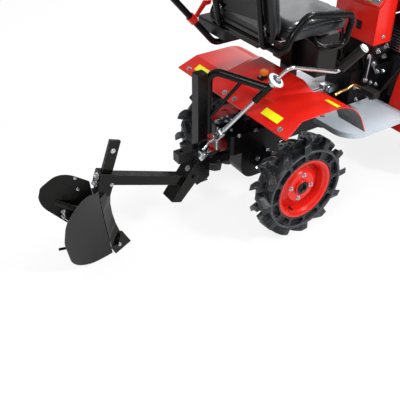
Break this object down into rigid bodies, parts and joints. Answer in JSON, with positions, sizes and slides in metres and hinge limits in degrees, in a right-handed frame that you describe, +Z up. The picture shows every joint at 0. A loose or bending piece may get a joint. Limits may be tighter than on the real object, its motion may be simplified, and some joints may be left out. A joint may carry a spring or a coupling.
{
  "type": "articulated mini tractor with ridging plough",
  "caption": "Small red articulated tractor with open driver's seat, lugged tyres, curved fenders, a hand-cranked rear lift and a black ridging plough.",
  "frame": {"origin": "middle of the overall length and width, on the floor under the tyres", "axes": "+X forward, +Y to the driver's left, +Z up"},
  "size_m": [2.461, 0.804, 1.25],
  "materials": {
    "amber_plastic": "gloss",
    "black_paint": "satin",
    "black_plastic": "matte",
    "bright_steel": "satin",
    "cast_case": "satin",
    "chrome_plate": "gloss",
    "engine_iron": "matte",
    "grey_paint": "satin",
    "lamp_glass": "gloss",
    "panel_grey": "satin",
    "red_paint": "gloss",
    "red_plastic": "gloss",
    "seat_vinyl": "satin",
    "tyre_rubber": "matte"
  },
  "bodies": {
    "rear_unit": {"rear_gearbox": "cast_case", "pto_cap": "red_plastic", "rear_frame": "black_paint", "rear_shaft": "bright_steel", "rear_fender": "red_paint", "seat_frame": "black_paint", "seat_pads": "seat_vinyl", "battery_box": "black_plastic", "hitch_mast": "black_paint", "lift_screw": "chrome_plate", "crank_grip": "black_plastic", "grab_tube": "black_paint", "hook_lever": "red_paint", "amber_lenses": "amber_plastic", "lamp_base": "bright_steel", "fender_brackets": "black_paint"},
    "front_unit": {"front_frame": "black_paint", "front_gearbox": "cast_case", "front_shaft": "bright_steel", "front_axle": "cast_case", "engine": "engine_iron", "front_fenders": "red_paint", "footboards": "grey_paint", "console": "red_paint", "dash_panel": "panel_grey", "steering_column": "black_paint", "pedals": "black_paint", "gear_levers": "bright_steel", "exhaust": "engine_iron", "bumper": "black_paint"},
    "implement": {"lift_arm": "black_paint", "boom_clamp": "black_paint", "plough_body": "black_paint", "mouldboards": "black_paint", "wing_stays": "black_paint"},
    "engine_hood": {"hood": "red_paint", "grille": "black_plastic", "headlamps": "lamp_glass"},
    "steering": {"steering_wheel": "black_plastic"},
    "wheel_rear_left": {"tyre_rear_left": "tyre_rubber", "rim_rear_left": "red_paint"},
    "wheel_rear_right": {"tyre_rear_right": "tyre_rubber", "rim_rear_right": "red_paint"},
    "wheel_front_left": {"tyre_front_left": "tyre_rubber", "rim_front_left": "red_paint"},
    "wheel_front_right": {"tyre_front_right": "tyre_rubber", "rim_front_right": "red_paint"}
  },
  "joints": [
    {"name": "roll_rear_left", "type": "hinge", "parent": "rear_unit", "child": "wheel_rear_left", "pos_m": [-0.19951, 0.31, 0.23824], "axis": [0, 1, 0], "continuous": true},
    {"name": "roll_rear_right", "type": "hinge", "parent": "rear_unit", "child": "wheel_rear_right", "pos_m": [-0.19951, -0.31, 0.23824], "axis": [0, 1, 0], "continuous": true},
    {"name": "roll_front_left", "type": "hinge", "parent": "front_unit", "child": "wheel_front_left", "pos_m": [0.76049, 0.31, 0.23824], "axis": [0, 1, 0], "continuous": true},
    {"name": "roll_front_right", "type": "hinge", "parent": "front_unit", "child": "wheel_front_right", "pos_m": [0.76049, -0.31, 0.23824], "axis": [0, 1, 0], "continuous": true},
    {"name": "articulation", "type": "hinge", "parent": "rear_unit", "child": "front_unit", "pos_m": [0.22049, 0, 0.32], "axis": [0, 0, 1], "range_deg": [-26, 26]},
    {"name": "lift", "type": "hinge", "parent": "rear_unit", "child": "implement", "pos_m": [-0.57451, 0, 0.262], "axis": [0, 1, 0], "range_deg": [-1, 20]},
    {"name": "hood_lid", "type": "hinge", "parent": "front_unit", "child": "engine_hood", "pos_m": [0.47849, 0, 0.921], "axis": [0, -1, 0], "range_deg": [0, 55]},
    {"name": "steering_turn", "type": "hinge", "parent": "front_unit", "child": "steering", "pos_m": [0.26249, 0, 1.085], "axis": [-0.4695, 0, 0.8829], "range_deg": [-260, 260]}
  ],
  "couplings": [
    {"joint": "steering_turn", "follows": "articulation", "ratio": 10}
  ]
}
